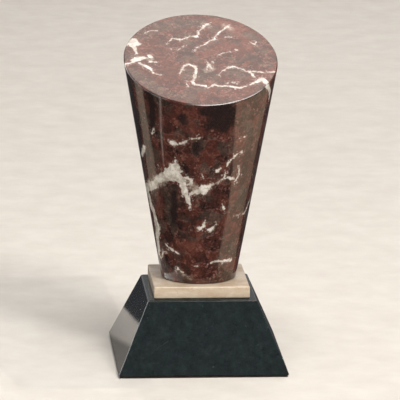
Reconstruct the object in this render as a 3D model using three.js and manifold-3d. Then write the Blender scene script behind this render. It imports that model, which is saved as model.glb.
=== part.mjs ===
// A column trophy in polished stone: a red column that widens upwards and ends in an oblique cut,
// on a square cream plate, on a black base shaped as a cut-off pyramid.
// One threaded rod clamps the stones together: it screws into a brass insert set in the column's foot,
// and a nut draws it tight from a counterbore under the base, which a sheet of felt closes.
// Millimetres, +Z up. The origin is the middle of the felt's underside, and the front faces -Y.

import * as THREE from 'three';
import { ConvexGeometry } from 'three/addons/geometries/ConvexGeometry.js';
import { mergeVertices } from 'three/addons/utils/BufferGeometryUtils.js';
import Module from 'manifold-3d';

// Felt
const FELT_THICKNESS = 1.5;
const FELT_INSET = 1;

// Base block
const BASE_WIDTH = 130;
const BASE_TOP_WIDTH = 82.5;
const BASE_HEIGHT = 53.25;
const BASE_CHAMFER = 0.7;
const COUNTERBORE_RADIUS = 15;
const COUNTERBORE_DEPTH = 16;

// Plate
const PLATE_WIDTH = 73;
const PLATE_THICKNESS = 9;
const PLATE_CHAMFER = 0.6;

// Column
const COLUMN_FOOT_RADIUS = 28.7;
const COLUMN_LENGTH = 166.8;
const COLUMN_TOP_RADIUS = 58.7;
const CUT_ANGLE = THREE.MathUtils.degToRad(21.9);
const RIM_CHAMFER = 0.9;
const FOOT_CHAMFER = 0.5;
const COLUMN_SEGMENTS = 128;

// Adhesive between the stones
const BOND_THICKNESS = 0.25;
const BOND_INSET = 1;
const BOND_HOLE_MARGIN = 1;

// M8 hardware
const ROD_RADIUS = 4;
const ROD_LENGTH = 85;
const ROD_CHAMFER = 0.8;
const ROD_END_PROUD = 1.5;
const ROD_HOLE_RADIUS = 5;
const THREAD_CLEARANCE = 0.1;
const NUT_ACROSS_FLATS = 13;
const NUT_THICKNESS = 6.5;
const NUT_FACE_INSET = 0.2;
const NUT_CORNER_ANGLE = THREE.MathUtils.degToRad(30);
const SPRING_WASHER_RADIUS = 7.4;
const SPRING_WASHER_THICKNESS = 2;
const SPRING_WASHER_SPLIT = THREE.MathUtils.degToRad(8);
const FLAT_WASHER_RADIUS = 12;
const FLAT_WASHER_THICKNESS = 2;
const CUSHION_RADIUS = 12.5;
const CUSHION_THICKNESS = 2;
const WASHER_BORE_RADIUS = 4.3;
const SMALL_SEGMENTS = 48;

// How far a cutter runs past the face that it opens through
const OVERRUN = 1;

// Brass insert and the resin round it
const INSERT_RADIUS = 6.5;
const INSERT_LENGTH = 26;
const INSERT_BORE_DEPTH = 24.5;
const INSERT_SETBACK = 1;
const INSERT_GROOVES = 4;
const GROOVE_DEPTH = 0.7;
const GROOVE_WIDTH = 2.5;
const RESIN_THICKNESS = 1.2;
const RESIN_GAP = 0.1;

// Heights of the faces that the pieces rest on, from the felt's underside up.
const BASE_BOTTOM = FELT_THICKNESS;
const BASE_TOP = BASE_BOTTOM + BASE_HEIGHT;
const PLATE_BOTTOM = BASE_TOP + BOND_THICKNESS;
const PLATE_TOP = PLATE_BOTTOM + PLATE_THICKNESS;
const COLUMN_FOOT = PLATE_TOP + BOND_THICKNESS;
const COUNTERBORE_TOP = BASE_BOTTOM + COUNTERBORE_DEPTH;
const CUSHION_BOTTOM = COUNTERBORE_TOP - CUSHION_THICKNESS;
const FLAT_WASHER_BOTTOM = CUSHION_BOTTOM - FLAT_WASHER_THICKNESS;
const SPRING_WASHER_BOTTOM = FLAT_WASHER_BOTTOM - SPRING_WASHER_THICKNESS;
const NUT_BOTTOM = SPRING_WASHER_BOTTOM - NUT_THICKNESS;
const ROD_BOTTOM = NUT_BOTTOM - ROD_END_PROUD;

// The blind bore in the column's foot holds the insert, the resin round it and a cap of resin above it.
const BORE_RADIUS = INSERT_RADIUS + RESIN_THICKNESS + 2 * RESIN_GAP;
const BORE_DEPTH = INSERT_SETBACK + INSERT_LENGTH + RESIN_THICKNESS + 2 * RESIN_GAP;

const wasm = await Module();
wasm.setup();

// A closed three.js geometry as a manifold solid. The triangles that a lathe leaves on its axis,
// with two corners at one point, are dropped.
function solid(geometry) {
  const bare = geometry.clone();
  bare.deleteAttribute('normal');
  bare.deleteAttribute('uv');
  const merged = mergeVertices(bare, 1e-4);
  const index = merged.index.array;
  const triangles = [];
  for (let i = 0; i < index.length; i += 3) {
    const [a, b, c] = index.slice(i, i + 3);
    if (a !== b && b !== c && c !== a) {
      triangles.push(a, b, c);
    }
  }
  return new wasm.Manifold(new wasm.Mesh({
    numProp: 3,
    vertProperties: new Float32Array(merged.attributes.position.array),
    triVerts: new Uint32Array(triangles),
  }));
}

// A manifold solid as a three.js geometry.
function geometryOf(manifold) {
  const mesh = manifold.getMesh();
  const geometry = new THREE.BufferGeometry();
  geometry.setAttribute('position', new THREE.BufferAttribute(new Float32Array(mesh.vertProperties), 3));
  geometry.setIndex(new THREE.BufferAttribute(new Uint32Array(mesh.triVerts), 1));
  geometry.computeVertexNormals();
  return geometry;
}

// A solid of revolution about Z from a profile of [radius, height] points.
function turned(profile, segments) {
  const points = profile.map(([radius, height]) => new THREE.Vector2(radius, height));
  const geometry = new THREE.LatheGeometry(points, segments);
  geometry.rotateX(Math.PI / 2);
  return geometry;
}

// A flat ring that stands on z = 0.
function ring(innerRadius, outerRadius, thickness, segments) {
  return turned([
    [innerRadius, 0],
    [outerRadius, 0],
    [outerRadius, thickness],
    [innerRadius, thickness],
    [innerRadius, 0],
  ], segments);
}

// A round cutter from z = bottom to z = top.
function drill(radius, bottom, top) {
  const geometry = new THREE.CylinderGeometry(radius, radius, top - bottom, SMALL_SEGMENTS);
  geometry.rotateX(Math.PI / 2);
  geometry.translate(0, 0, (bottom + top) / 2);
  return solid(geometry);
}

// A square block on z = 0, of one width below and another above, with every arris chamfered.
function chamferedBlock(bottomWidth, topWidth, height, chamfer) {
  const halfWidthAt = (z) => THREE.MathUtils.lerp(bottomWidth, topWidth, z / height) / 2;
  const points = [];
  for (const [face, side] of [[0, chamfer], [height, height - chamfer]]) {
    const flat = halfWidthAt(face) - chamfer;
    const wall = halfWidthAt(side);
    for (const sx of [-1, 1]) {
      for (const sy of [-1, 1]) {
        points.push(new THREE.Vector3(sx * flat, sy * flat, face));
        points.push(new THREE.Vector3(sx * wall, sy * (wall - chamfer), side));
        points.push(new THREE.Vector3(sx * (wall - chamfer), sy * wall, side));
      }
    }
  }
  return new ConvexGeometry(points);
}

// The column's outside: a cone frustum whose upper rings are slid along the cone's own lines
// until they lie in the oblique plane of the cut, which is highest at the back.
function obliqueCone() {
  const flare = (COLUMN_TOP_RADIUS - COLUMN_FOOT_RADIUS) / COLUMN_LENGTH;
  const rise = Math.tan(CUT_ANGLE);
  const upright = COLUMN_FOOT_RADIUS + flare * FOOT_CHAMFER;
  const geometry = turned([
    [0, 0],
    [COLUMN_FOOT_RADIUS - FOOT_CHAMFER, 0],
    [upright, FOOT_CHAMFER],
    [COLUMN_TOP_RADIUS - flare * RIM_CHAMFER, COLUMN_LENGTH - RIM_CHAMFER],
    [COLUMN_TOP_RADIUS - RIM_CHAMFER, COLUMN_LENGTH],
    [0, COLUMN_LENGTH],
  ], COLUMN_SEGMENTS);
  const position = geometry.attributes.position;
  for (let i = 0; i < position.count; i += 1) {
    const x = position.getX(i);
    const y = position.getY(i);
    const z = position.getZ(i);
    if (z > COLUMN_LENGTH / 2) {
      const radius = Math.hypot(x, y);
      const back = radius > 0 ? y / radius : 0;
      const stretch = 1 / (1 - flare * rise * back);
      position.setXYZ(i, x * stretch, y * stretch, z + rise * y * stretch);
    }
  }
  return geometry;
}

function columnGeometry() {
  return geometryOf(solid(obliqueCone()).subtract(drill(BORE_RADIUS, -OVERRUN, BORE_DEPTH)));
}

function plateGeometry() {
  const block = solid(chamferedBlock(PLATE_WIDTH, PLATE_WIDTH, PLATE_THICKNESS, PLATE_CHAMFER));
  return geometryOf(block.subtract(drill(ROD_HOLE_RADIUS, -OVERRUN, PLATE_THICKNESS + OVERRUN)));
}

function baseGeometry() {
  const block = solid(chamferedBlock(BASE_WIDTH, BASE_TOP_WIDTH, BASE_HEIGHT, BASE_CHAMFER));
  const hole = drill(ROD_HOLE_RADIUS, -OVERRUN, BASE_HEIGHT + OVERRUN);
  const counterbore = drill(COUNTERBORE_RADIUS, -OVERRUN, COUNTERBORE_DEPTH);
  return geometryOf(block.subtract(hole).subtract(counterbore));
}

function feltGeometry() {
  const width = BASE_WIDTH - 2 * FELT_INSET;
  const geometry = new THREE.BoxGeometry(width, width, FELT_THICKNESS);
  geometry.translate(0, 0, FELT_THICKNESS / 2);
  return geometry;
}

function plateBondGeometry() {
  const half = PLATE_WIDTH / 2 - BOND_INSET;
  const outline = new THREE.Shape([
    new THREE.Vector2(-half, -half),
    new THREE.Vector2(half, -half),
    new THREE.Vector2(half, half),
    new THREE.Vector2(-half, half),
  ]);
  const hole = new THREE.Path();
  hole.absarc(0, 0, ROD_HOLE_RADIUS + BOND_HOLE_MARGIN, 0, 2 * Math.PI, true);
  outline.holes.push(hole);
  return new THREE.ExtrudeGeometry(outline, {
    depth: BOND_THICKNESS,
    bevelEnabled: false,
    curveSegments: SMALL_SEGMENTS / 2,
  });
}

function columnBondGeometry() {
  const outer = COLUMN_FOOT_RADIUS - BOND_INSET;
  return ring(BORE_RADIUS + BOND_HOLE_MARGIN, outer, BOND_THICKNESS, COLUMN_SEGMENTS / 2);
}

// The M8 rod at its thread's outer diameter, with chamfered ends.
function rodGeometry() {
  return turned([
    [0, 0],
    [ROD_RADIUS - ROD_CHAMFER, 0],
    [ROD_RADIUS, ROD_CHAMFER],
    [ROD_RADIUS, ROD_LENGTH - ROD_CHAMFER],
    [ROD_RADIUS - ROD_CHAMFER, ROD_LENGTH],
    [0, ROD_LENGTH],
  ], SMALL_SEGMENTS);
}

// The hexagon, with the corners of both faces turned off.
function nutGeometry() {
  const cornerRadius = NUT_ACROSS_FLATS / Math.sqrt(3);
  const hexagon = new THREE.CylinderGeometry(cornerRadius, cornerRadius, NUT_THICKNESS, 6);
  hexagon.rotateX(Math.PI / 2);
  hexagon.translate(0, 0, NUT_THICKNESS / 2);
  const faceRadius = NUT_ACROSS_FLATS / 2 - NUT_FACE_INSET;
  const reach = cornerRadius + NUT_FACE_INSET;
  const drop = (reach - faceRadius) * Math.tan(NUT_CORNER_ANGLE);
  const dome = turned([
    [0, 0],
    [faceRadius, 0],
    [reach, drop],
    [reach, NUT_THICKNESS - drop],
    [faceRadius, NUT_THICKNESS],
    [0, NUT_THICKNESS],
  ], SMALL_SEGMENTS);
  const bore = drill(ROD_RADIUS + THREAD_CLEARANCE, -OVERRUN, NUT_THICKNESS + OVERRUN);
  return geometryOf(solid(hexagon).intersect(solid(dome)).subtract(bore));
}

// A split ring, pressed flat by the nut.
function springWasherGeometry() {
  const start = SPRING_WASHER_SPLIT / 2;
  const end = 2 * Math.PI - start;
  const outline = new THREE.Shape();
  outline.absarc(0, 0, SPRING_WASHER_RADIUS, start, end, false);
  outline.absarc(0, 0, WASHER_BORE_RADIUS, end, start, true);
  outline.closePath();
  return new THREE.ExtrudeGeometry(outline, {
    depth: SPRING_WASHER_THICKNESS,
    bevelEnabled: false,
    curveSegments: SMALL_SEGMENTS,
  });
}

// A brass plug with grooves round it for the resin to key into, and a blind bore for the rod.
function insertGeometry() {
  const boreRadius = ROD_RADIUS + THREAD_CLEARANCE;
  const pitch = INSERT_LENGTH / INSERT_GROOVES;
  const profile = [[boreRadius, 0], [INSERT_RADIUS, 0]];
  for (let i = 0; i < INSERT_GROOVES; i += 1) {
    const middle = pitch * (i + 0.5);
    const low = middle - GROOVE_WIDTH / 2;
    const high = middle + GROOVE_WIDTH / 2;
    profile.push([INSERT_RADIUS, low]);
    profile.push([INSERT_RADIUS - GROOVE_DEPTH, low + GROOVE_DEPTH]);
    profile.push([INSERT_RADIUS - GROOVE_DEPTH, high - GROOVE_DEPTH]);
    profile.push([INSERT_RADIUS, high]);
  }
  profile.push([INSERT_RADIUS, INSERT_LENGTH]);
  profile.push([0, INSERT_LENGTH]);
  profile.push([0, INSERT_BORE_DEPTH]);
  profile.push([boreRadius, INSERT_BORE_DEPTH]);
  profile.push([boreRadius, 0]);
  return turned(profile, SMALL_SEGMENTS);
}

// A cup of resin, open at the foot, that fills the bore round and above the insert.
function resinGeometry() {
  const inner = INSERT_RADIUS + RESIN_GAP;
  const outer = inner + RESIN_THICKNESS;
  const ceiling = INSERT_LENGTH + RESIN_GAP;
  return turned([
    [inner, 0],
    [outer, 0],
    [outer, ceiling + RESIN_THICKNESS],
    [0, ceiling + RESIN_THICKNESS],
    [0, ceiling],
    [inner, ceiling],
    [inner, 0],
  ], SMALL_SEGMENTS);
}

function material(color, roughness, metalness = 0) {
  return new THREE.MeshStandardMaterial({ color, roughness, metalness });
}

const trophy = new THREE.Group();

// Adds a named piece that stands on the given height of the trophy's axis.
function place(name, geometry, surface, height) {
  const mesh = new THREE.Mesh(geometry, surface);
  mesh.name = name;
  mesh.position.z = height;
  trophy.add(mesh);
}

place('felt_pad', feltGeometry(), material(0x2b2420, 0.95), 0);
place('base_block', baseGeometry(), material(0x1b1e1b, 0.15), BASE_BOTTOM);
place('plate_bond', plateBondGeometry(), material(0xb9ad98, 0.6), BASE_TOP);
place('plinth_plate', plateGeometry(), material(0xd6c3a8, 0.2), PLATE_BOTTOM);
place('column_bond', columnBondGeometry(), material(0xb9ad98, 0.6), PLATE_TOP);
place('column', columnGeometry(), material(0x5c2f2a, 0.12), COLUMN_FOOT);
place('insert_resin', resinGeometry(), material(0xc9b98f, 0.5), COLUMN_FOOT + INSERT_SETBACK);
place('column_insert', insertGeometry(), material(0xc29a4b, 0.35, 1), COLUMN_FOOT + INSERT_SETBACK);
place('tie_rod', rodGeometry(), material(0xa9adb0, 0.35, 1), ROD_BOTTOM);
place('rod_nut', nutGeometry(), material(0xb2b5b6, 0.3, 1), NUT_BOTTOM);
place('spring_washer', springWasherGeometry(), material(0x8f9294, 0.4, 1), SPRING_WASHER_BOTTOM);
place('flat_washer', ring(WASHER_BORE_RADIUS, FLAT_WASHER_RADIUS, FLAT_WASHER_THICKNESS, SMALL_SEGMENTS),
  material(0xb5b8ba, 0.35, 1), FLAT_WASHER_BOTTOM);
place('cushion_washer', ring(WASHER_BORE_RADIUS, CUSHION_RADIUS, CUSHION_THICKNESS, SMALL_SEGMENTS),
  material(0x1a1a1a, 0.8), CUSHION_BOTTOM);

export default trophy;
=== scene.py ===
"""A column trophy in polished stone: a red marble column on a cream plate and a black base.

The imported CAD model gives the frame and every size. The three stones and the felt are rebuilt here as
finer meshes round the same faces, and the hidden hardware keeps its CAD shape.
Everything is in metres, except inside the materials and the vein maps, which are in millimetres.
"""

import math

import bpy
from mathutils import Matrix, Vector, noise


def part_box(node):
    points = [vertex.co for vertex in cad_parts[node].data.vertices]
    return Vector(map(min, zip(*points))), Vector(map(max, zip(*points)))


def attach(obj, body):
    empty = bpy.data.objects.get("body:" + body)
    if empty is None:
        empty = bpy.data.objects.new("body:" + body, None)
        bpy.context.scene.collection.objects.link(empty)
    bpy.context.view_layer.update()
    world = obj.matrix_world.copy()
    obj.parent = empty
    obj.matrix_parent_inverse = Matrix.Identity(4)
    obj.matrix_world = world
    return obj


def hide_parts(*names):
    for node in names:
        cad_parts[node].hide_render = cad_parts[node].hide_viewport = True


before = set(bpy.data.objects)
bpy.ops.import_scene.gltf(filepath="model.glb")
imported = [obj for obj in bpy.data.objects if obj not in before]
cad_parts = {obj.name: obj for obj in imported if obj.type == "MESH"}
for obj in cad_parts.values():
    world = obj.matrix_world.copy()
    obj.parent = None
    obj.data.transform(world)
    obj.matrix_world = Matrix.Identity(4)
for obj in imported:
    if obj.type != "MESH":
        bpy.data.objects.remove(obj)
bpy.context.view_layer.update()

MM = 0.001

# ---------------------------------------------------------------- sizes, from the frame

FELT_LOW, FELT_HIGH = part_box("felt_pad")
BASE_LOW, BASE_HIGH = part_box("base_block")
PLATE_LOW, PLATE_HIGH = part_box("plinth_plate")
COLUMN_LOW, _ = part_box("column")
_, RESIN_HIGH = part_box("insert_resin")
_, CUSHION_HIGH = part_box("cushion_washer")

# The block's faces meet in these widths. Its chamfers make the CAD box a little narrower.
BASE_WIDTH = 130 * MM
BASE_TOP_WIDTH = 82.5 * MM
BASE_CHAMFER = 0.7 * MM
PLATE_WIDTH = PLATE_HIGH.x - PLATE_LOW.x
FELT_WIDTH = FELT_HIGH.x - FELT_LOW.x
PLATE_CHAMFER = 0.6 * MM
COUNTERBORE_RADIUS = 15 * MM
ROD_HOLE_RADIUS = 5 * MM

# The column is a cone frustum cut by a plane that slopes down towards the front.
COLUMN_FOOT = COLUMN_LOW.z
COLUMN_LENGTH = 166.8 * MM
FOOT_RADIUS = 28.7 * MM
TOP_RADIUS = 58.7 * MM
FLARE = (TOP_RADIUS - FOOT_RADIUS) / COLUMN_LENGTH
CUT_RISE = math.tan(math.radians(21.9))
CUT_HEIGHT = COLUMN_FOOT + COLUMN_LENGTH
RIM_CHAMFER = 0.9 * MM
FOOT_CHAMFER = 0.5 * MM
BORE_GAP = 0.1 * MM
BORE_RADIUS = RESIN_HIGH.x + BORE_GAP
BORE_TOP = RESIN_HIGH.z + BORE_GAP

# How far each kind of arris is rounded, and how uneven a chamfer's width is.
COLUMN_SOFTNESS = 0.22 * MM
BLOCK_SOFTNESS = 0.16 * MM
FELT_SOFTNESS = 0.3 * MM
UNEVENNESS = 0.25


# ---------------------------------------------------------------- meshes

def softened(corners, setback, steps=3):
    """A polyline with each inner corner rounded. A point on either side keeps the flats flat when shaded."""
    guard = 1.7
    path = [corners[0]]
    for before, corner, after in zip(corners, corners[1:], corners[2:]):
        back = (before - corner).normalized()
        ahead = (after - corner).normalized()
        start = corner + back * setback
        end = corner + ahead * setback
        path.append(corner + back * setback * guard)
        for i in range(steps + 1):
            t = i / steps
            path.append(start * (1 - t) ** 2 + corner * 2 * t * (1 - t) + end * t ** 2)
        path.append(corner + ahead * setback * guard)
    path.append(corners[-1])
    return path


def add_piece(name, vertices, faces, slot, *nodes):
    """A smooth-shaded mesh object that stands for the named CAD nodes and rides on the one body."""
    mesh = bpy.data.meshes.new(name)
    mesh.from_pydata(vertices, [], faces)
    mesh.validate()
    mesh.shade_smooth()
    piece = bpy.data.objects.new(name, mesh)
    bpy.context.scene.collection.objects.link(piece)
    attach(piece, "root")
    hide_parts(*nodes)
    return piece


def wrapped(columns, first_on_axis=None, last_on_axis=None):
    """Vertices and faces of a closed surface whose columns of points stand side by side round the axis.

    Each column runs up the outside. The first and the last row close onto a point of the axis if one is
    given, and onto each other if neither is.
    """
    count, height = len(columns), len(columns[0])
    vertices = [point for column in columns for point in column]
    faces = []
    rows = height if first_on_axis is None else height - 1
    for i in range(count):
        here, there = i * height, (i + 1) % count * height
        for k in range(rows):
            above = (k + 1) % height
            faces.append((here + k, there + k, there + above, here + above))
    for centre, row, inward in ((first_on_axis, 0, True), (last_on_axis, height - 1, False)):
        if centre is not None:
            hub = len(vertices)
            vertices.append(centre)
            for i in range(count):
                here, there = i * height + row, (i + 1) % count * height + row
                faces.append((there, here, hub) if inward else (here, there, hub))
    return vertices, faces


def cone_radius(height):
    return FOOT_RADIUS + FLARE * (height - COLUMN_FOOT)


def column_corners(azimuth):
    """The column's outline in the half plane at one azimuth, from the bore's ceiling round to the top."""
    out = Vector((math.cos(azimuth), math.sin(azimuth), 0))
    up = Vector((0, 0, 1))
    slope = out + up * CUT_RISE * out.y
    rim_radius = TOP_RADIUS / (1 - FLARE * CUT_RISE * out.y)
    rim = slope * rim_radius + up * CUT_HEIGHT
    wall = (out * FLARE + up).normalized()
    ragged = 1 + UNEVENNESS * noise.noise(rim * 90)
    corners = [
        out * BORE_RADIUS * 0.5 + up * BORE_TOP,
        out * BORE_RADIUS + up * BORE_TOP,
        out * BORE_RADIUS + up * COLUMN_FOOT,
        out * (FOOT_RADIUS - FOOT_CHAMFER) + up * COLUMN_FOOT,
        out * cone_radius(COLUMN_FOOT + FOOT_CHAMFER) + up * (COLUMN_FOOT + FOOT_CHAMFER),
        rim - wall * RIM_CHAMFER * ragged,
        rim - slope.normalized() * RIM_CHAMFER * ragged,
        slope * rim_radius * 0.5 + up * CUT_HEIGHT,
    ]
    return corners


def with_rows(path, low, high, rows):
    """The path with the long stretch between two of its points split into more rows."""
    extra = [path[low].lerp(path[high], (i + 1) / (rows + 1)) for i in range(rows)]
    return path[:low + 1] + extra + path[high:]


def longest_stretch(path):
    return max(range(len(path) - 1), key=lambda i: (path[i + 1] - path[i]).length)


def column_columns(count=288, rows=24):
    columns = []
    for i in range(count):
        path = softened(column_corners(2 * math.pi * i / count), COLUMN_SOFTNESS)
        wall = longest_stretch(path)
        path = with_rows(path, wall, wall + 1, rows)
        columns.append(path)
    return columns


def square_outline(per_side=40, corner_steps=4):
    """Directions round a square: (x, y, how far along the corner's arc as a unit vector)."""
    spots = []
    for side in range(4):
        turn = Matrix.Rotation(side * math.pi / 2, 2)
        for i in range(1, per_side):
            along = -math.cos(math.pi * i / per_side)
            spots.append((turn @ Vector((1, along)), turn @ Vector((1, 0)), 0.0))
        for i in range(corner_steps + 1):
            angle = math.pi / 2 * i / corner_steps
            arc = Vector((math.cos(angle), math.sin(angle)))
            spots.append((turn @ Vector((1, 1)), turn @ arc, 1.0))
    return spots


def block_column(spot, low, high, half_low, half_high, chamfer, hole, counterbore=None):
    """One column of points of a pierced square block: up its outside, and down through its hole."""
    flat, arc, in_corner = spot
    lean = 0.02

    def at(half, height):
        inner = half - chamfer
        square = flat * inner + arc * chamfer
        return Vector((square.x, square.y, height))

    def in_hole(radius, height):
        way = flat.normalized()
        if in_corner:
            # a slight lean keeps the columns of one corner apart in the hole
            way = (flat * half_low * (1 - lean) + arc * half_low * lean).normalized()
        return Vector((way.x * radius, way.y * radius, height))

    def half_at(height):
        return half_low + (half_high - half_low) * (height - low) / (high - low)

    ragged = 1 + UNEVENNESS * noise.noise(at(half_low, low) * 300)
    cut = chamfer * ragged
    corners = [
        at(half_low - cut, low),
        at(half_at(low + cut), low + cut),
        at(half_at(high - cut), high - cut),
        at(half_high - cut, high),
        in_hole(hole, high),
    ]
    if counterbore:
        radius, ceiling = counterbore
        corners += [in_hole(hole, ceiling), in_hole(radius, ceiling), in_hole(radius, low)]
    else:
        corners += [in_hole(hole, low)]
    return softened([corners[-1]] + corners + [corners[0]], BLOCK_SOFTNESS)[1:-1]


def block(name, slot, node, low, high, widths, chamfer, counterbore=None):
    half_low, half_high = widths[0] / 2, widths[1] / 2
    columns = [
        block_column(spot, low, high, half_low, half_high, chamfer, ROD_HOLE_RADIUS, counterbore)
        for spot in square_outline()
    ]
    return add_piece(name, *wrapped(columns), slot, node)


def felt_sheet():
    """The felt, with cut edges that are a little soft and uneven."""
    half = FELT_WIDTH / 2
    low, high = FELT_LOW.z, FELT_HIGH.z
    edge = 0.5 * MM
    columns = []
    for flat, arc, _ in square_outline(per_side=90):
        place = flat * (half - edge) + arc * edge
        fray = 0.25 * MM * (noise.noise(Vector((place.x, place.y, 0)) * 700) - 1)
        rim = place + arc * fray
        corners = [
            Vector((place.x * 0.5, place.y * 0.5, low)),
            Vector((rim.x, rim.y, low)),
            Vector((rim.x, rim.y, high)),
            Vector((place.x * 0.5, place.y * 0.5, high)),
        ]
        columns.append(softened(corners, FELT_SOFTNESS))
    shape = wrapped(columns, Vector((0, 0, low)), Vector((0, 0, high)))
    return add_piece("felt_sheet", *shape, "felt", "felt_pad")


# ---------------------------------------------------------------- shader graphs

def paint(red, green, blue):
    """A display colour as the linear colour that a shader takes."""
    def linear(value):
        return value / 12.92 if value <= 0.04045 else ((value + 0.055) / 1.055) ** 2.4
    return (linear(red), linear(green), linear(blue), 1.0)


class Graph:
    """Short names for making nodes. An input is a number, a tuple or another node's output."""

    def __init__(self, tree):
        self.tree = tree

    def node(self, kind, inputs, output=0, **settings):
        made = self.tree.nodes.new(kind)
        for name, value in settings.items():
            setattr(made, name, value)
        for key, value in inputs.items():
            if isinstance(value, bpy.types.NodeSocket):
                self.tree.links.new(value, made.inputs[key])
            else:
                made.inputs[key].default_value = value
        return made.outputs[output]

    def math(self, operation, *values, clamp=False):
        return self.node("ShaderNodeMath", dict(enumerate(values)), operation=operation, use_clamp=clamp)

    def vector(self, operation, *values, output=0):
        return self.node("ShaderNodeVectorMath", dict(enumerate(values)), output, operation=operation)

    def scaled(self, vector, factor):
        return self.node("ShaderNodeVectorMath", {0: vector, "Scale": factor}, operation="SCALE")

    def noise(self, vector, size, detail=2.0, roughness=0.5, output="Fac"):
        """Noise whose largest features are about size millimetres wide."""
        inputs = {"Vector": vector, "Scale": 1 / size, "Detail": detail, "Roughness": roughness}
        return self.node("ShaderNodeTexNoise", inputs, output)

    def cells(self, vector, size, output="Distance", feature="F1"):
        """Cells about size millimetres wide."""
        inputs = {"Vector": vector, "Scale": 1 / size}
        return self.node("ShaderNodeTexVoronoi", inputs, output, feature=feature)

    def ridge(self, vector, size, roughness):
        """How far noise is from its middle value, which is small along winding lines."""
        return self.math("ABSOLUTE", self.math("SUBTRACT", self.noise(vector, size, 3, roughness), 0.5))

    def warped(self, vector, size, amount, detail=2.0):
        """The vector, pushed about by noise by up to about amount millimetres."""
        push = self.noise(vector, size, detail, output="Color")
        push = self.vector("SUBTRACT", push, (0.5, 0.5, 0.5))
        return self.vector("ADD", vector, self.scaled(push, 2 * amount))

    def band(self, value, low, high, to_low=0.0, to_high=1.0):
        """A smooth step from to_low to to_high as value goes from low to high."""
        inputs = {"Value": value, "From Min": low, "From Max": high, "To Min": to_low, "To Max": to_high}
        return self.node("ShaderNodeMapRange", inputs, interpolation_type="SMOOTHSTEP")

    def mix(self, factor, a, b, blend="MIX"):
        return self.node("ShaderNodeMix", {0: factor, 6: a, 7: b}, 2, data_type="RGBA", blend_type=blend)

    def ramp(self, value, stops):
        made = self.tree.nodes.new("ShaderNodeValToRGB")
        elements = made.color_ramp.elements
        while len(elements) < len(stops):
            elements.new(0.5)
        for element, (position, colour) in zip(elements, stops):
            element.position = position
            element.color = colour
        self.tree.links.new(value, made.inputs[0])
        return made.outputs[0]

    def bump(self, height, distance):
        """Bump whose height of 1 is distance millimetres."""
        inputs = {"Height": height, "Distance": distance * MM, "Strength": 1.0}
        return self.node("ShaderNodeBump", inputs)


def new_material(name):
    """A material with its graph, its shader and the object's coordinates in millimetres."""
    material = bpy.data.materials.new(name)
    material.use_nodes = True
    graph = Graph(material.node_tree)
    shader = material.node_tree.nodes["Principled BSDF"]
    place = graph.node("ShaderNodeTexCoord", {}, "Object")
    return material, graph, shader, graph.scaled(place, 1 / MM)


def connect(graph, shader, **sockets):
    """Links or sets the shader's sockets. An underscore in a name stands for a space."""
    for name, value in sockets.items():
        socket = shader.inputs[name.replace("_", " ")]
        if isinstance(value, bpy.types.NodeSocket):
            graph.tree.links.new(value, socket)
        else:
            socket.default_value = value


# ---------------------------------------------------------------- veins

def on_wall(azimuth, height):
    """A point on the column's wall, in millimetres. Azimuth 0 is the front and 90 is the right."""
    radius = cone_radius(height * MM) / MM
    angle = math.radians(azimuth)
    return Vector((radius * math.sin(angle), -radius * math.cos(angle), height))


def on_top(x, y):
    """A point on the oblique top, in millimetres."""
    return Vector((x, y, CUT_HEIGHT / MM + CUT_RISE * y))


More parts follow.
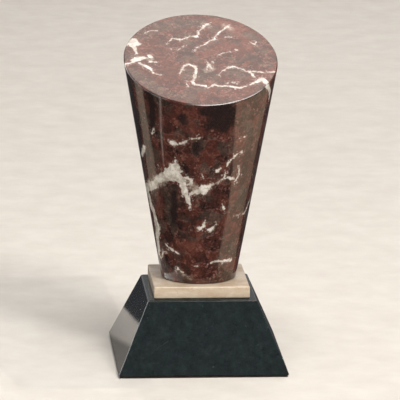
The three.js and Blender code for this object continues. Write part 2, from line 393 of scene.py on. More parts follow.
# Each vein is a line of (x, y, half width) over the oblique top.
TOP_VEINS = [
    # the white wedge on the left rim
    [(-58, 21, 1.4), (-50, 29, 2.4), (-47, 24, 2.4), (-52, 24, 2.8), (-50, 18, 1.8), (-48, 11, 0.8)],
    # the cluster below it and its tail
    [(-51, 2, 2.4), (-48, 4, 3.0), (-43, 6, 1.9)],
    [(-61, -3, 0.9), (-56, -2, 0.9), (-51, 0, 1.1)],
    [(-47, -2, 1.3), (-42, -6, 1.4), (-39, -9, 1.4), (-37, -14, 0.4), (-32, -17, 0.5)],
    [(-39, 9, 1.5), (-38, 7, 1.5)],
    [(-39, 1, 1.3), (-38, 1, 1.2)],
    [(-35, 0, 1.1), (-34, 0, 1.0)],
    # the two long veins at the back
    [(-25, 23, 0.2), (-23, 27, 0.4), (-20, 31, 0.6), (-14, 29, 0.6), (-10, 30, 0.6), (-6, 34, 0.6)],
    [(-6, 34, 0.6), (-1, 33, 1.4), (1, 36, 0.6), (1, 40, 0.6), (6, 47, 0.9), (11, 51, 0.7)],
    [(-4, 15, 0.7), (-2, 18, 0.4), (5, 23, 0.7), (9, 28, 0.8), (13, 29, 0.9), (13, 33, 0.7)],
    [(13, 33, 0.7), (18, 40, 0.7), (22, 44, 0.8), (24, 46, 1.5)],
    [(-17, 15, 0.3), (-14, 18, 0.4), (-11, 22, 0.2)],
    [(21, 32, 0.4), (26, 32, 0.4)],
    # the network at the front, out to the blob by the right rim
    [(-17, -15, 0.3), (-15, -10, 0.7), (-13, -5, 1.1), (-9, -3, 1.2), (-5, -6, 1.0), (-5, -13, 1.0)],
    [(-5, -13, 1.0), (-6, -20, 1.0), (-8, -25, 0.7), (-7, -29, 0.7), (-4, -29, 1.2), (1, -30, 1.2)],
    [(1, -30, 1.2), (3, -33, 1.0), (8, -29, 0.9), (12, -31, 0.8), (19, -31, 0.8), (27, -33, 1.1)],
    [
        (27, -33, 1.1), (33, -30, 0.9), (39, -27, 1.0), (45, -22, 2.3),
        (47, -27, 1.8), (49, -31, 1.3), (52, -34, 1.2),
    ],
    [(18, -27, 0.3), (22, -26, 0.5), (26, -27, 0.2)],
    # the loop to its right
    [
        (12, -18, 0.2), (13, -14, 0.4), (15, -11, 0.6), (21, -7, 0.9),
        (25, -6, 0.9), (29, -8, 0.8), (34, -12, 0.8),
    ],
    [(34, -12, 0.8), (42, -13, 0.6), (48, -14, 0.7), (55, -13, 1.0), (62, -12, 1.1)],
    [(36, -13, 0.7), (38, -18, 0.9), (40, -20, 0.7)],
    # a small star, a thread beside it, and loose fragments
    [(4, 1, 0.2), (6, -3, 0.7), (9, 1, 0.3)],
    [(4, -9, 0.2), (6, -3, 0.9), (8, -9, 0.2)],
    [(13, 9, 0.1), (17, 11, 0.2), (22, 13, 0.1)],
    [(-13, -26, 0.5), (-12, -31, 0.7)],
    [(-40, 38, 0.3), (-36, 41, 0.2), (-30, 41, 0.4)],
    [(-22, 17, 0.8), (-21, 17, 0.7)],
    [(28, 15, 0.7), (29, 15, 0.6)],
    [(40, 25, 0.5), (44, 22, 0.8), (44, 26, 0.3)],
]

# Each vein is a line of (azimuth in degrees, height, half width) round the wall.
WALL_VEINS = [
    # the blob high on the left, and its tail
    [(-30, 178, 1.9), (-27, 177, 1.9)],
    [(-22, 178, 0.8), (-18, 179, 0.4), (-13, 182, 0.3), (-6, 183, 1.0)],
    # the white mass, with arms to the left edge and down
    [(-51, 146, 3.0), (-44, 149, 4.2), (-36, 151, 5.0), (-29, 152, 4.8), (-23, 148, 3.4)],
    [(-37, 154, 2.8), (-32, 158, 2.8), (-27, 160, 1.8), (-25, 155, 2.6)],
    [(-28, 161, 1.2), (-28, 166, 0.3)],
    [(-23, 148, 3.2), (-20, 140, 2.8), (-17, 133, 2.0), (-15, 127, 0.9)],
    [(-51, 146, 2.8), (-60, 140, 3.2), (-70, 138, 3.4), (-82, 135, 3.6)],
    [(-45, 153, 1.4), (-49, 158, 0.4)],
    # the streak down the left edge
    [(-82, 133, 4.2), (-76, 125, 3.6), (-70, 117, 2.6), (-65, 106, 3.4), (-70, 98, 2.6), (-74, 84, 2.2)],
    # a swirl, a second blob and the arm that runs to the right, with hooks above it
    [(-20, 150, 1.0), (-14, 150, 0.9), (-12, 146, 0.9), (-18, 145, 0.6)],
    [(-15, 138, 1.5), (-8, 140, 2.2), (-1, 143, 2.4), (5, 144, 1.8), (0, 139, 1.4)],
    [(4, 144, 0.9), (9, 146, 0.8), (14, 147, 1.1), (19, 150, 0.9), (30, 149, 0.7), (37, 146, 0.4)],
    [(12, 156, 0.9), (16, 158, 1.1), (20, 156, 0.6), (20, 151, 1.1)],
    [(22, 160, 1.0), (25, 164, 1.5), (29, 167, 0.8), (37, 169, 0.6)],
    [(32, 155, 0.4), (36, 157, 0.7), (38, 151, 0.4), (33, 145, 0.4)],
    [(-3, 154, 0.7), (-1, 151, 0.4)],
    # fragments below
    [(-5, 110, 0.9), (0, 112, 1.2), (2, 117, 0.4)],
    [(5, 109, 0.9), (9, 108, 1.1), (15, 113, 0.4)],
    [(21, 129, 0.2), (24, 124, 0.5)],
    [(-52, 94, 0.5), (-42, 91, 0.9), (-31, 87, 0.3)],
    [(-71, 81, 1.2), (-58, 87, 0.8), (-47, 90, 0.4)],
    [(10, 81, 0.2), (22, 82, 0.9), (34, 82, 1.2), (46, 81, 1.1)],
    [(-39, 72, 0.4), (-36, 76, 0.5), (-27, 73, 0.3)],
    [(-7, 79, 0.6), (-6, 79, 0.6)],
    # the left edge, and the right edge
    [(-77, 162, 2.0), (-68, 168, 2.4)],
    [(-52, 182, 0.4), (-44, 189, 0.2)],
    [(32, 181, 0.2), (38, 181, 0.6)],
    [(72, 130, 0.7), (65, 123, 0.8), (58, 117, 0.4), (38, 118, 0.2)],
    # the vein that comes over the rim from the top
    [(58, 219, 1.9), (66, 212, 1.7), (68, 205, 0.9)],
]

# The far side, which nothing but the stone's habit sets.
FAR_VEINS = [
    [(104, 196, 0.6), (114, 188, 1.6), (124, 186, 3.4), (133, 178, 4.6), (146, 175, 2.2), (158, 180, 0.8)],
    [(133, 178, 3.0), (137, 166, 2.4), (134, 152, 1.2), (140, 141, 0.5)],
    [(158, 180, 0.8), (172, 188, 1.2), (184, 201, 0.9), (190, 214, 1.4), (189, 238, 0.8)],
    [(112, 132, 0.5), (120, 126, 1.4), (131, 124, 0.9), (143, 116, 2.2), (152, 112, 1.0), (160, 102, 0.4)],
    [(96, 96, 1.2), (105, 91, 2.0), (118, 93, 0.7)],
    [(176, 146, 0.6), (186, 140, 2.6), (196, 136, 3.4), (206, 138, 1.4), (214, 147, 0.7), (226, 150, 0.5)],
    [(196, 136, 2.0), (200, 124, 1.4), (197, 112, 0.6)],
    [(214, 178, 0.5), (224, 184, 1.1), (238, 183, 0.6), (250, 191, 1.5), (262, 203, 0.6)],
    [(170, 84, 1.0), (182, 80, 1.6), (194, 83, 0.8)],
    [(232, 118, 0.7), (243, 110, 1.8), (252, 99, 1.1), (262, 92, 0.5)],
]

# Broad patches of darker, greyer or redder stone, as lines like the veins'.
WALL_DARK = [
    [(-2, 205, 3.0), (8, 204, 5.5), (20, 203, 5.0), (22, 196, 4.5), (8, 195, 4.5), (16, 190, 3.5)],
    [(-20, 198, 3.0), (-19, 195, 3.0)],
    [(-8, 177, 2.6), (-8, 173, 2.6)],
    [(-31, 137, 2.6), (-34, 122, 3.0), (-38, 112, 1.5)],
    [(-80, 215, 7.0), (-78, 180, 6.0), (-84, 150, 5.0)],
    [(-47, 212, 3.0), (-48, 186, 3.0)],
    [(104, 150, 4.0), (110, 142, 6.0)],
    [(150, 205, 5.0), (164, 200, 6.0)],
    [(214, 100, 4.0), (226, 96, 5.0)],
    [(250, 160, 5.0), (258, 150, 4.0)],
]
WALL_GREY = [
    [(-40, 138, 2.0), (-42, 112, 2.5)],
    [(40, 190, 4.0), (44, 182, 5.0)],
    [(45, 138, 4.0), (48, 128, 4.0)],
    [(44, 93, 3.0), (46, 88, 4.0)],
    [(86, 170, 5.0), (94, 160, 5.0)],
    [(128, 104, 5.0), (136, 98, 3.0)],
    [(180, 168, 6.0), (192, 164, 4.0)],
    [(240, 205, 6.0), (248, 212, 4.0)],
]
TOP_DARK = [
    [(-14, 12, 2.6), (-7, 11, 2.8)],
    [(39, 6, 1.8), (41, 6, 1.8)],
]
TOP_HAZE = [
    [(6, -4, 1.0), (7, -8, 2.2), (4, -11, 2.0)],
    [(22, 48, 1.5), (26, 43, 1.5)],
    [(6, 50, 1.5), (10, 46, 1.2)],
    [(-46, 6, 2.0), (-38, 4, 1.5)],
]
WALL_HAZE = [
    [(-68, 140, 3.0), (-56, 143, 4.0), (-44, 146, 3.0)],
    [(-18, 146, 2.5), (-10, 143, 2.5)],
    [(-28, 71, 0.5), (-16, 69, 0.6)],
    [(133, 181, 6.0), (150, 174, 3.0)],
]
TOP_GREY = [
    [(-28, 46, 5.0), (-12, 50, 7.0), (3, 53, 4.5)],
    [(-55, 7, 4.0), (-52, 8, 3.0)],
    [(-54, -12, 4.0), (-44, -25, 5.5), (-34, -37, 4.0)],
    [(-11, -11, 2.5), (-12, -18, 4.0)],
    [(0, -17, 3.5), (-1, -22, 3.5)],
    [(8, -22, 2.5), (9, -17, 2.5)],
    [(19, -15, 4.0), (31, -18, 4.0)],
    [(-8, 26, 3.5), (-3, 23, 2.5)],
    [(38, 34, 4.0), (45, 27, 2.5)],
    [(47, 15, 3.0), (50, 11, 3.0)],
    [(-26, -42, 3.0), (-17, -43, 2.5)],
    [(-8, -34, 2.0), (-3, -35, 2.0)],
    [(53, -19, 2.5), (54, -23, 2.5)],
]
WALL_RED = [
    [(-40, 192, 5.0), (-26, 199, 6.0), (-12, 190, 5.0)],
    [(-52, 134, 3.0), (-56, 120, 4.0)],
    [(-30, 98, 4.0), (-10, 94, 5.0)],
    [(140, 150, 6.0), (160, 142, 5.0)],
    [(210, 124, 6.0), (222, 132, 4.0)],
]
TOP_RED = [
    [(12, 56, 3.0), (34, 40, 5.0), (38, 16, 4.0)],
    [(4, 8, 4.0), (20, 22, 5.0)],
    [(-26, 8, 5.0), (-26, -12, 5.0)],
    [(14, -44, 4.0), (32, -40, 4.0)],
]


def capsule_distance(graph, place, start, end, start_radius, end_radius):
    """How far the place is outside a straight stretch of vein, in millimetres."""
    along = end - start
    reach = graph.vector("SUBTRACT", place, tuple(start))
    share = graph.vector("DOT_PRODUCT", reach, tuple(along / along.length_squared), output="Value")
    share = graph.node("ShaderNodeClamp", {"Value": share})
    nearest = graph.scaled(tuple(along), share)
    gap = graph.vector("DISTANCE", reach, nearest, output="Value")
    radius = graph.math("MULTIPLY_ADD", share, end_radius - start_radius, start_radius)
    return graph.math("SUBTRACT", gap, radius)


def vein_distance(graph, place, veins, spot):
    """How far the place is outside the nearest of the veins, whose points spot() puts on the stone."""
    nearest = None
    for vein in veins:
        for (a, b, start_radius), (c, d, end_radius) in zip(vein, vein[1:]):
            gap = capsule_distance(graph, place, spot(a, b), spot(c, d), start_radius, end_radius)
            nearest = gap if nearest is None else graph.math("SMOOTH_MIN", nearest, gap, 0.8)
    return nearest


# ---------------------------------------------------------------- stone materials

def placed_patch(g, place, lines, spot, soft):
    """Where the placed patches are, from 0 to 1, with edges about soft millimetres wide."""
    return g.band(vein_distance(g, place, lines, spot), soft, -soft / 2)


def red_marble(name, spot, lines, breakage, painted_light, whiteness):
    """A healed breccia: burgundy and olive-grey fragments, dusty seams, and veins of white spar.

    Its lines are the veins and the dark, grey, red and hazy patches. Breakage is how far, in
    millimetres, the veins swell and thin out along their length. The red stone's brightness factor is
    painted light: below 1 it paints shade on the stone, as on the wall copy, which is darker than the
    top copy. Whiteness is the brightness of the white spar.
    """
    material, g, shader, place = new_material(name)
    loose = g.warped(g.warped(place, 22, 4.0), 5, 1.5)

    # each fragment has its own tone and kind, clouded across
    fragment = g.cells(loose, 9, "Color")
    own_tone = g.node("ShaderNodeSeparateColor", {0: fragment})
    own_kind = g.node("ShaderNodeSeparateColor", {0: fragment}, 1)
    clouds = g.noise(loose, 6, 6, 0.68)
    region = g.noise(place, 34, 2)
    tone = g.math("MULTIPLY_ADD", clouds, 0.62, g.math("MULTIPLY", region, 0.24))
    tone = g.math("MULTIPLY_ADD", own_tone, 0.14, tone)
    red_patch = placed_patch(g, loose, lines["red"], spot, 4.0)
    tone = g.math("MULTIPLY_ADD", red_patch, 0.09, tone)
    burgundy = g.ramp(tone, [
        (0.37, paint(0.175, 0.12, 0.11)),
        (0.46, paint(0.25, 0.15, 0.13)),
        (0.55, paint(0.335, 0.19, 0.16)),
        (0.66, paint(0.42, 0.25, 0.21)),
    ])
    olive = g.ramp(tone, [
        (0.38, paint(0.20, 0.17, 0.15)),
        (0.64, paint(0.345, 0.295, 0.26)),
    ])
    kind = g.math("MULTIPLY_ADD", own_kind, 0.4, g.math("MULTIPLY", g.noise(place, 18, 2), 0.6))
    kind = g.band(kind, 0.54, 0.62)
    kind = g.math("MULTIPLY", kind, g.math("MULTIPLY_ADD", red_patch, -0.6, 0.7))
    grey_patch = placed_patch(g, loose, lines["grey"], spot, 3.0)
    kind = g.math("MAXIMUM", kind, g.math("MULTIPLY", grey_patch, 0.95))
    colour = g.mix(kind, burgundy, olive)

    # dusty seams between the fragments, and hairlines where they were healed
    seam = g.band(g.cells(loose, 9, feature="DISTANCE_TO_EDGE"), 0.08, 0.0)
    seam = g.math("MULTIPLY", seam, g.band(g.noise(place, 6, 3, 0.6), 0.46, 0.6))
    colour = g.mix(g.math("MULTIPLY", seam, 0.28), colour, paint(0.56, 0.385, 0.34))
    ridge = g.ridge(loose, 15, 0.55)
    hairline = g.math("MULTIPLY", g.band(ridge, 0.008, 0.002), g.band(g.noise(place, 22, 2), 0.47, 0.6))
    colour = g.mix(g.math("MULTIPLY", hairline, 0.3), colour, paint(0.64, 0.50, 0.45))

    # grain, with dusty crumbs and dark specks
    grain = g.noise(place, 1.5, 4, 0.65)
    # painted shade: the brightness factor scales the whole red stone, and below 1 darkens it
    colour = g.scaled(colour, g.band(grain, 0.3, 0.7, 0.72 * painted_light, 1.30 * painted_light))
    crumbs = g.node("ShaderNodeSeparateColor", {0: g.cells(g.warped(place, 3, 0.6), 1.4, "Color")}, 1)
    crumbs = g.math("MULTIPLY", g.band(crumbs, 0.82, 0.9), g.band(g.noise(place, 11, 3), 0.46, 0.6))
    colour = g.mix(g.math("MULTIPLY", crumbs, 0.4), colour, paint(0.62, 0.44, 0.40))
    specks = g.band(g.noise(place, 2.4, 3, 0.6), 0.38, 0.32)
    colour = g.mix(g.math("MULTIPLY", specks, 0.55), colour, paint(0.19, 0.13, 0.12))
    dark_patch = placed_patch(g, loose, lines["dark"], spot, 2.5)
    colour = g.mix(g.math("MULTIPLY", dark_patch, 0.92), colour, paint(0.155, 0.115, 0.108))

    # white spar, which swells, thins out and breaks up along each vein, with bits beside it
    bent = g.warped(g.warped(place, 9, 1.4), 3.0, 0.8)
    gap = vein_distance(g, bent, lines["white"], spot)
    swell = g.math("SUBTRACT", g.noise(place, 4.0, 3, 0.6), 0.45)
    gap = g.math("MULTIPLY_ADD", swell, breakage, gap)
    fray = g.math("SUBTRACT", g.noise(place, 1.2, 3, 0.7), 0.5)
    gap = g.math("MULTIPLY_ADD", fray, 2.6, gap)
    stain = g.band(gap, 3.0, 0.2)
    colour = g.mix(g.math("MULTIPLY", stain, 0.35), colour, paint(0.47, 0.31, 0.27))
    haze = placed_patch(g, bent, lines["haze"], spot, 2.5)
    haze = g.math("MULTIPLY", haze, g.band(g.noise(place, 2.2, 4, 0.7), 0.38, 0.62, 0.05, 0.7))
    colour = g.mix(haze, colour, paint(0.72, 0.68, 0.62))
    bits = g.math("MULTIPLY", g.band(gap, 3.4, 0.6), g.band(g.noise(place, 1.9, 2), 0.6, 0.68))
    density = g.band(g.noise(place, 2.6, 4, 0.7), 0.3, 0.52, 0.68, 1.0)
    vein = g.math("MULTIPLY", g.band(gap, 0.55, -0.4), density)
    vein = g.math("MAXIMUM", vein, g.math("MULTIPLY", bits, 0.6))
    milk = g.noise(g.warped(place, 5, 1.5), 5, 4, 0.6)
    white = g.ramp(milk, [
        (0.32, paint(0.69, 0.66, 0.61)),
        (0.46, paint(0.84, 0.81, 0.765)),
        (0.60, paint(0.95, 0.93, 0.895)),
    ])
    colour = g.mix(vein, colour, g.scaled(white, whiteness))

    roughness = g.math("MULTIPLY_ADD", grain, 0.05, 0.06)
    roughness = g.math("MULTIPLY_ADD", vein, 0.05, roughness)
    relief = g.math("MULTIPLY_ADD", vein, 0.6, g.math("MULTIPLY", grain, 0.4))
    connect(g, shader, Base_Color=colour, Roughness=roughness, Normal=g.bump(relief, 0.01), IOR=1.55)
    return material


def cream_marble():
    material, g, shader, place = new_material("cream_marble")
    bent = g.warped(place, 18, 3.0)
    beds = g.noise(g.vector("MULTIPLY", bent, (0.25, 0.25, 1.0)), 5, 4, 0.6)
    clouds = g.noise(bent, 16, 4, 0.6)
    tone = g.math("MULTIPLY_ADD", beds, 0.5, g.math("MULTIPLY", clouds, 0.5))
    colour = g.ramp(tone, [
        (0.36, paint(0.76, 0.66, 0.55)),
        (0.48, paint(0.83, 0.75, 0.65)),
        (0.62, paint(0.89, 0.83, 0.75)),
    ])
    grain = g.noise(place, 1.2, 4, 0.7)
    fleck = g.math("MULTIPLY", g.band(grain, 0.62, 0.7), 0.35)
    colour = g.mix(fleck, colour, paint(0.72, 0.60, 0.48))
    ridge = g.ridge(bent, 20, 0.55)
    thread = g.math("MULTIPLY", g.band(ridge, 0.01, 0.002), g.band(clouds, 0.45, 0.6))
    colour = g.mix(g.math("MULTIPLY", thread, 0.4), colour, paint(0.76, 0.62, 0.47))
    roughness = g.math("MULTIPLY_ADD", grain, 0.08, 0.14)
    connect(g, shader, Base_Color=colour, Roughness=roughness, Normal=g.bump(grain, 0.01), IOR=1.5)
    return material


def black_marble():
    """Green-black marble: faint clouds, a fine grain, and a few pale flecks and broken threads."""
    material, g, shader, place = new_material("black_marble")
    bent = g.warped(place, 20, 4.0)
    clouds = g.noise(bent, 6, 6, 0.7)
    grain = g.noise(place, 1.3, 4, 0.7)
    tone = g.math("MULTIPLY_ADD", grain, 0.35, g.math("MULTIPLY", clouds, 0.65))
    colour = g.ramp(tone, [
        (0.36, paint(0.095, 0.12, 0.122)),
        (0.50, paint(0.122, 0.15, 0.153)),
        (0.64, paint(0.16, 0.19, 0.193)),
    ])
    fleck = g.band(g.noise(g.warped(place, 5, 1.5), 3.2, 3, 0.55), 0.68, 0.76)
    fleck = g.math("MULTIPLY", fleck, g.band(g.noise(place, 30, 2), 0.48, 0.6))
    colour = g.mix(g.math("MULTIPLY", fleck, 0.3), colour, paint(0.42, 0.45, 0.44))
    ridge = g.ridge(bent, 30, 0.5)
    thread = g.math("MULTIPLY", g.band(ridge, 0.004, 0.001), g.band(g.noise(place, 10, 2), 0.6, 0.68))
    colour = g.mix(g.math("MULTIPLY", thread, 0.3), colour, paint(0.42, 0.45, 0.43))
    roughness = g.math("MULTIPLY_ADD", grain, 0.05, 0.035)
    connect(g, shader, Base_Color=colour, Roughness=roughness, Normal=g.bump(grain, 0.006), IOR=1.5)
    return material


def felt():
    material, g, shader, place = new_material("felt")
    fibres = g.noise(g.warped(place, 1.5, 0.8), 0.5, 4, 0.7)
    colour = g.ramp(fibres, [
        (0.3, paint(0.11, 0.085, 0.07)),
        (0.7, paint(0.24, 0.19, 0.16)),
    ])
    connect(g, shader, Base_Color=colour, Roughness=0.95, Normal=g.bump(fibres, 0.25))
    connect(g, shader, Sheen_Weight=0.3, Sheen_Roughness=0.5)
    return material


def turned_metal(name, dark, light, roughness):
    """A turned or plated metal: fine rings round the axis, and slight clouding."""
    material, g, shader, place = new_material(name)
    flat = g.vector("MULTIPLY", place, (1.0, 1.0, 0.0))
    radius = g.vector("LENGTH", flat, output="Value")
    height = g.node("ShaderNodeSeparateXYZ", {0: place}, "Z")
    rings = g.node("ShaderNodeCombineXYZ", {0: radius, 2: height})
    lines = g.noise(rings, 0.12, 2)
    clouds = g.noise(place, 2.5, 3, 0.6)
    colour = g.ramp(g.math("MULTIPLY_ADD", lines, 0.4, g.math("MULTIPLY", clouds, 0.6)), [
        (0.35, dark),
        (0.65, light),
    ])
    rough = g.math("MULTIPLY_ADD", clouds, 0.2, roughness - 0.1)
    connect(g, shader, Base_Color=colour, Metallic=1.0, Roughness=rough, Normal=g.bump(lines, 0.01))
    return material


def rubber():
    material, g, shader, place = new_material("washer_rubber")
    grain = g.noise(place, 0.8, 4, 0.7)
    colour = g.ramp(grain, [(0.3, paint(0.07, 0.07, 0.07)), (0.7, paint(0.14, 0.14, 0.135))])
    roughness = g.math("MULTIPLY_ADD", grain, 0.2, 0.6)
    connect(g, shader, Base_Color=colour, Roughness=roughness, Normal=g.bump(grain, 0.05))
    return material


def adhesive():
    material, g, shader, place = new_material("stone_adhesive")
    clouds = g.noise(place, 4, 4, 0.6)
    colour = g.ramp(clouds, [(0.35, paint(0.66, 0.58, 0.44)), (0.65, paint(0.80, 0.74, 0.62))])
    bubbles = g.band(g.cells(place, 1.6), 0.1, 0.2)
    roughness = g.math("MULTIPLY_ADD", clouds, 0.2, 0.35)
    connect(g, shader, Base_Color=colour, Roughness=roughness, Normal=g.bump(bubbles, 0.05))
    return material


# ---------------------------------------------------------------- the object

column = add_piece(
    "column_stone",
    *wrapped(column_columns(), Vector((0, 0, BORE_TOP)), Vector((0, 0, CUT_HEIGHT))),
    "red_marble", "column",
)
WALL_LINES = {
    "white": WALL_VEINS + FAR_VEINS, "dark": WALL_DARK, "grey": WALL_GREY, "red": WALL_RED, "haze": WALL_HAZE,
}
TOP_LINES = {"white": TOP_VEINS, "dark": TOP_DARK, "grey": TOP_GREY, "red": TOP_RED, "haze": TOP_HAZE}
# painted shade: the wall copy of the red marble is painted darker (0.87) than the top copy (1.0)
wall_marble = red_marble("red_marble_wall", on_wall, WALL_LINES, breakage=5.0, painted_light=0.87, whiteness=0.92)
top_marble = red_marble("red_marble_top", on_top, TOP_LINES, breakage=2.8, painted_light=1.0, whiteness=0.85)
column.data.materials.append(wall_marble)
column.data.materials.append(top_marble)
for face in column.data.polygons:
    face.material_index = 1 if face.normal.z > 0.6 else 0

plate = block(
    "plate_stone", "cream_marble", "plinth_plate",
    PLATE_LOW.z, PLATE_HIGH.z, (PLATE_WIDTH, PLATE_WIDTH), PLATE_CHAMFER,
)
plate.data.materials.append(cream_marble())

base = block(
    "base_stone", "black_marble", "base_block",
    BASE_LOW.z, BASE_HIGH.z, (BASE_WIDTH, BASE_TOP_WIDTH), BASE_CHAMFER,
    (COUNTERBORE_RADIUS, CUSHION_HIGH.z),
)
base.data.materials.append(black_marble())

sheet = felt_sheet()
sheet.data.materials.append(felt())

steel = turned_metal("zinc_plated_steel", paint(0.60, 0.62, 0.63), paint(0.78, 0.79, 0.80), 0.32)
brass = turned_metal("turned_brass", paint(0.66, 0.50, 0.24), paint(0.83, 0.68, 0.38), 0.3)
glue = adhesive()
FINISHES = {
    "tie_rod": steel, "rod_nut": steel, "spring_washer": steel, "flat_washer": steel,
    "column_insert": brass, "cushion_washer": rubber(),
    "insert_resin": glue, "column_bond": glue, "plate_bond": glue,
}
for node, finish in FINISHES.items():
    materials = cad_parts[node].data.materials
    materials.clear()
    materials.append(finish)


# ---------------------------------------------------------------- stage, light and camera

def add_floor(name, corners, mirrored, shaded=False):
    """A stretch of pale floor. Where it isn't mirrored, the stones reflect the dim studio instead."""
    mesh = bpy.data.meshes.new(name)
    mesh.from_pydata([(x, y, 0) for x, y in corners], [], [(0, 1, 2, 3)])
    floor = bpy.data.objects.new(name, mesh)
    bpy.context.scene.collection.objects.link(floor)
    material, g, shader, place = new_material(name)
    clouds = g.noise(place, 30, 4, 0.6)
    colour = g.ramp(clouds, [(0.3, paint(0.83, 0.80, 0.76)), (0.7, paint(0.87, 0.845, 0.805))])
    if shaded:
        # painted shadow: the floor's colour is darkened beside the base, up to a line that runs back from its
        # corner
        shade = 0.30
        across = g.vector("DOT_PRODUCT", place, (0.85, 0.52, 0.0), output="Value")
        colour = g.scaled(colour, g.band(across, -30, -14, shade, 1.0))
    connect(g, shader, Base_Color=colour, Roughness=0.8)
    mesh.materials.append(material)
    floor.visible_glossy = mirrored
    return floor


def aimed(obj, place, target):
    obj.location = place
    obj.rotation_euler = (Vector(place) - Vector(target)).to_track_quat("Z", "Y").to_euler()


def add_light(name, place, target, size, power, colour):
    """A soft area light that doesn't show in the polished stone."""
    light = bpy.data.lights.new(name, "AREA")
    light.shape = "RECTANGLE"
    light.size, light.size_y = size, size
    light.energy = power
    light.color = colour
    lamp = bpy.data.objects.new(name, light)
    bpy.context.scene.collection.objects.link(lamp)
    aimed(lamp, place, target)
    lamp.visible_camera = False
    lamp.visible_glossy = False


def around(azimuth, height, distance=1.2):
    """A point round the stage, in metres. Azimuth 0 is the front and 90 is the right."""
    angle = math.radians(azimuth)
    return Vector((distance * math.sin(angle), -distance * math.cos(angle), height))


def add_card(name, vertices, faces, brightness, colour):
    """A glowing card, seen only as a reflection in polished stone, with a brightness at each vertex."""
    mesh = bpy.data.meshes.new(name)
    mesh.from_pydata(vertices, [], faces)
    glow = mesh.attributes.new("glow", "FLOAT", "POINT")
    for i, value in enumerate(brightness):
        glow.data[i].value = value
    card = bpy.data.objects.new(name, mesh)
    bpy.context.scene.collection.objects.link(card)
    material = bpy.data.materials.new(name)
    material.use_nodes = True
    material.node_tree.nodes.clear()
    g = Graph(material.node_tree)
    strength = g.node("ShaderNodeAttribute", {}, "Fac", attribute_name="glow")
    shine = g.node("ShaderNodeEmission", {"Color": colour, "Strength": strength})
    out = material.node_tree.nodes.new("ShaderNodeOutputMaterial")
    material.node_tree.links.new(shine, out.inputs["Surface"])
    material.cycles.emission_sampling = "NONE"
    mesh.materials.append(material)
    for kind in ("camera", "diffuse", "transmission", "volume_scatter", "shadow"):
        setattr(card, "visible_" + kind, False)


def curved_card(name, levels, strengths, colour, steps=12):
    """A card curved round the stage. Each level is its two ends, as (azimuth, height)."""
    vertices, faces, brightness = [], [], []
    for left, right in levels:
        for i in range(steps + 1):
            share = i / steps
            azimuth = left[0] + (right[0] - left[0]) * share
            height = left[1] + (right[1] - left[1]) * share
            vertices.append(around(azimuth, height))
            brightness.append(strengths[0] + (strengths[1] - strengths[0]) * share)
    for k in range(len(levels) - 1):
        for i in range(steps):
            corner = k * (steps + 1) + i
            faces.append((corner, corner + 1, corner + steps + 2, corner + steps + 1))
    add_card(name, vertices, faces, brightness, colour)


def rim_card(path, distance, half_width, colour):
    """A thin bright card overhead that lights the rim. Its path is (azimuth, elevation, brightness)."""
    vertices, brightness = [], []
    for azimuth, elevation, strength in path:
        rise = math.radians(elevation)
        way = around(azimuth, 0, distance) * math.cos(rise) + Vector((0, 0, distance * math.sin(rise)))
        across = (Vector((0, 0, 1)) - way.normalized() * math.sin(rise)).normalized() * half_width
        centre = Vector((0, 0, CUT_HEIGHT)) + way
        vertices += [centre - across, centre + across]
        brightness += [strength, strength]
    faces = [(2 * i, 2 * i + 1, 2 * i + 3, 2 * i + 2) for i in range(len(path) - 1)]
    add_card("rim_card", vertices, faces, brightness, colour)


def add_world():
    """A studio that is dim above, dark below and softly lit round the horizon."""
    world = bpy.data.worlds.new("studio")
    bpy.context.scene.world = world
    world.use_nodes = True
    world.node_tree.nodes.clear()
    g = Graph(world.node_tree)
    way = g.node("ShaderNodeTexCoord", {}, "Generated")
    up = g.node("ShaderNodeSeparateXYZ", {0: way}, "Z")
    share = g.math("MULTIPLY_ADD", up, 0.5, 0.5)
    grey = g.ramp(share, [
        (0.00, (0.05, 0.05, 0.05, 1)),
        (0.46, (0.055, 0.055, 0.06, 1)),
        (0.52, (0.45, 0.44, 0.43, 1)),
        (0.58, (0.48, 0.48, 0.48, 1)),
        (0.66, (0.14, 0.14, 0.145, 1)),
        (0.80, (0.10, 0.10, 0.105, 1)),
        (1.00, (0.30, 0.30, 0.31, 1)),
    ])
    seen = g.node("ShaderNodeLightPath", {}, "Is Camera Ray")
    grey = g.mix(seen, grey, paint(0.86, 0.86, 0.86))
    back = g.node("ShaderNodeBackground", {"Color": grey, "Strength": 1.0})
    out = world.node_tree.nodes.new("ShaderNodeOutputWorld")
    world.node_tree.links.new(back, out.inputs["Surface"])


def add_camera():
    """A long lens, a little to the left of the front and a little above, with the photograph's slight roll."""
    azimuth, elevation, roll = math.radians(-4.73), math.radians(13.09), math.radians(0.73)
    distance, lens = 3.139, 369
    target = Vector((0.0005, 0, 0.1234))
    back = Vector((
        math.sin(azimuth) * math.cos(elevation),
        -math.cos(azimuth) * math.cos(elevation),
        math.sin(elevation),
    ))
    right = Vector((math.cos(azimuth), math.sin(azimuth), 0))
    up = back.cross(right)
    rolled_right = right * math.cos(roll) + up * math.sin(roll)
    rolled_up = up * math.cos(roll) - right * math.sin(roll)
    data = bpy.data.cameras.new("camera")
    data.lens = lens
    data.clip_start, data.clip_end = 0.1, 100
    camera = bpy.data.objects.new("camera", data)
    bpy.context.scene.collection.objects.link(camera)
    turn = Matrix((rolled_right, rolled_up, back)).transposed()
    camera.matrix_world = Matrix.Translation(target + back * distance) @ turn.to_4x4()
    bpy.context.scene.camera = camera


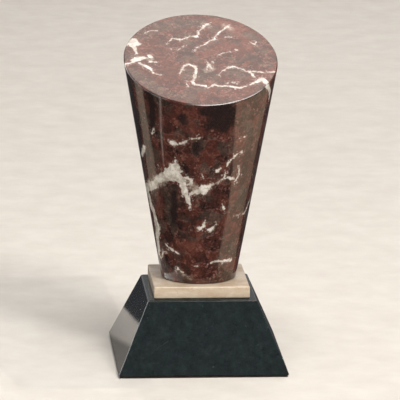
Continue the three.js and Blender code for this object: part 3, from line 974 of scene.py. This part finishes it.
# Reflections on the column's wall: a wide milky band on the right, a band and a fine line on the left.
RIGHT_BAND = [
    ((56, -0.38), (136, -0.10)),
    ((58, -0.45), (132, -0.23)),
    ((67, -0.50), (126, -0.31)),
    ((66, -0.55), (123, -0.37)),
    ((57, -0.62), (127, -0.42)),
    ((54, -0.80), (130, -0.60)),
]
LEFT_BAND = [
    ((-134, -0.10), (-112, -0.20)),
    ((-132, -0.25), (-111, -0.325)),
    ((-134, -0.29), (-106, -0.388)),
    ((-138, -0.32), (-105, -0.43)),
]
LEFT_LINE = [
    ((-76, -0.33), (-72, -0.33)),
    ((-75.4, -0.404), (-72.6, -0.411)),
    ((-81.0, -0.428), (-78.2, -0.438)),
    ((-83.7, -0.462), (-80.8, -0.473)),
]

# Overhead glows that catch the base's left arris, the column's rim and the oblique top.
ARRIS_GLOW = [((-135, 0.75), (-52, 0.75)), ((-135, 0.42), (-52, 0.42))]
RIM_GLOW = [
    (-20, 46.5, 0), (-4, 46.5, 8), (7, 46, 16), (25, 45, 18), (42, 43.5, 17), (58, 41, 14), (74, 38, 11),
    (90, 35, 8), (97, 33, 0),
]
RIM_CARD_DISTANCE = 2.0
RIM_CARD_HALF_WIDTH = 0.12
TOP_GLOW = [(-1.2, -0.5, 1.5), (1.4, -0.5, 1.5), (1.4, 1.6, 1.5), (-1.2, 1.6, 1.5)]
TOP_GLOW_STRENGTH = 2.7

# Each curved card is its name, its levels, its brightness at either end and its colour.
CURVED_CARDS = [
    ("right_band", RIGHT_BAND, (1.95, 0.55), (1.0, 0.71, 0.51, 1)),
    ("left_band", LEFT_BAND, (0.55, 1.1), (1.0, 0.90, 0.70, 1)),
    ("left_line", LEFT_LINE, (3.2, 3.2), (1.0, 0.78, 0.68, 1)),
    ("arris_glow", ARRIS_GLOW, (15, 15), (1, 1, 1, 1)),
]

# Each light is its name, its place, the point it is aimed at, its width, its power and its colour.
LIGHTS = [
    ("key", (1.07, -1.65, 1.95), (0, 0, 0.1), 0.5, 35, (1, 0.98, 0.95)),
    ("front_top", (0.12, -0.5, 2.0), (0, 0, 0.1), 1.0, 30, (1, 1, 1)),
    ("fill", (-1.3, -1.2, 0.9), (0, 0, 0.12), 1.2, 3, (1, 1, 1)),
    ("back_fill", (0.3, 1.6, 1.2), (0, 0, 0.12), 1.2, 9, (1, 1, 1)),
]

# A narrow stretch of floor, just over the wide one, with a painted shadow, is mirrored in the base's left
# face.
FLOOR_REACH = 30
FLOOR = [(x * FLOOR_REACH, y * FLOOR_REACH) for x, y in ((-1, -1), (1, -1), (1, 1), (-1, 1))]
MIRRORED_FLOOR = [(-0.14, -0.09), (-0.04, -0.09), (-0.06, 0.25), (-0.22, 0.25)]
MIRRORED_FLOOR_LIFT = 0.5 * MM

add_world()
add_floor("floor", FLOOR, mirrored=False)
mirrored = add_floor("mirrored_floor", MIRRORED_FLOOR, mirrored=True, shaded=True)
mirrored.location.z = MIRRORED_FLOOR_LIFT
mirrored.visible_camera = False
mirrored.visible_diffuse = False
mirrored.visible_shadow = False

for light in LIGHTS:
    add_light(*light)
for card in CURVED_CARDS:
    curved_card(*card)
rim_card(RIM_GLOW, RIM_CARD_DISTANCE, RIM_CARD_HALF_WIDTH, (1, 0.95, 0.90, 1))
add_card("top_glow", TOP_GLOW, [(0, 1, 2, 3)], [TOP_GLOW_STRENGTH] * 4, (1.0, 0.78, 0.70, 1))
add_camera()
bpy.context.scene.view_settings.view_transform = "Standard"
